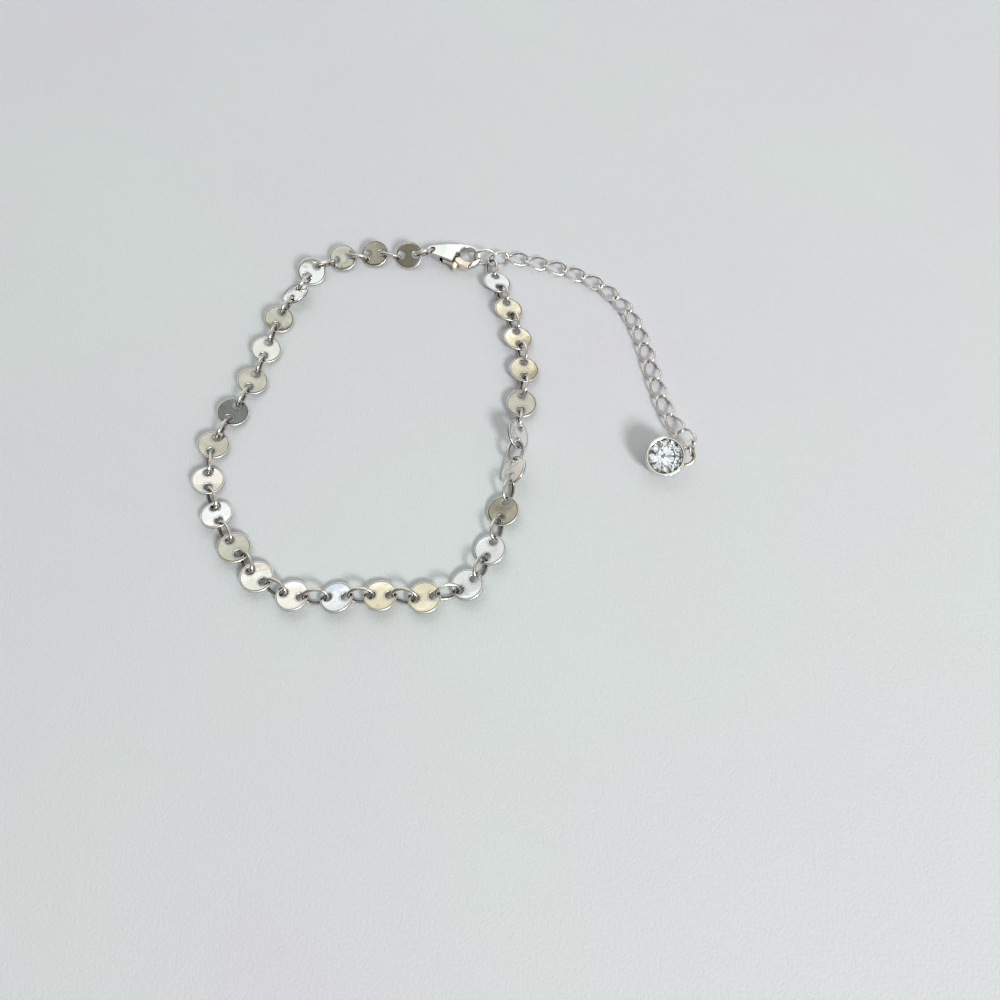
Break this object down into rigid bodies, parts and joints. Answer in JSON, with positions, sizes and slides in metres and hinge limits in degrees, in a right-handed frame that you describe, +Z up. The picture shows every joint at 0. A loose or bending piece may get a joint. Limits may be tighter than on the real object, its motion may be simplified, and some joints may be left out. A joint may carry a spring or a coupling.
{
  "type": "disc link bracelet",
  "caption": "Fine chain bracelet of pierced flat discs joined by oval wire links, closed by a lobster clasp on a curb extender that ends in a round bezel-set stone.",
  "frame": {"origin": "middle of the bounding box, at the surface that the bracelet lies on", "axes": "+Z up from that surface; +X along the long side of the laid-out bracelet, towards the stone; +Y towards the clasp"},
  "size_m": [0.079, 0.0702, 0.0049],
  "materials": {
    "silver": "polished sterling silver",
    "clear_stone": "clear faceted stone"
  },
  "bodies": {
    "bracelet": {"disc_link_01": "silver", "disc_link_02": "silver", "disc_link_03": "silver", "disc_link_04": "silver", "disc_link_05": "silver", "disc_link_06": "silver", "disc_link_07": "silver", "disc_link_08": "silver", "disc_link_09": "silver", "disc_link_10": "silver", "disc_link_11": "silver", "disc_link_12": "silver", "disc_link_13": "silver", "disc_link_14": "silver", "disc_link_15": "silver", "disc_link_16": "silver", "disc_link_17": "silver", "disc_link_18": "silver", "disc_link_19": "silver", "disc_link_20": "silver", "disc_link_21": "silver", "disc_link_22": "silver", "disc_link_23": "silver", "disc_link_24": "silver", "disc_link_25": "silver", "disc_link_26": "silver", "disc_link_27": "silver", "disc_link_28": "silver", "clasp_body": "silver", "clasp_link": "silver", "first_link": "silver", "extender_chain": "silver", "drop_ring": "silver", "bezel": "silver", "stone": "clear_stone"},
    "lever": {"clasp_lever": "silver"}
  },
  "joints": [
    {"name": "clasp_lever_hinge", "type": "hinge", "parent": "bracelet", "child": "lever", "pos_m": [-0.0011, 0.03196, 0.00107], "axis": [0, 0, 1], "range_deg": [0, 16], "stiffness_Nm_per_rad": 0.006}
  ]
}
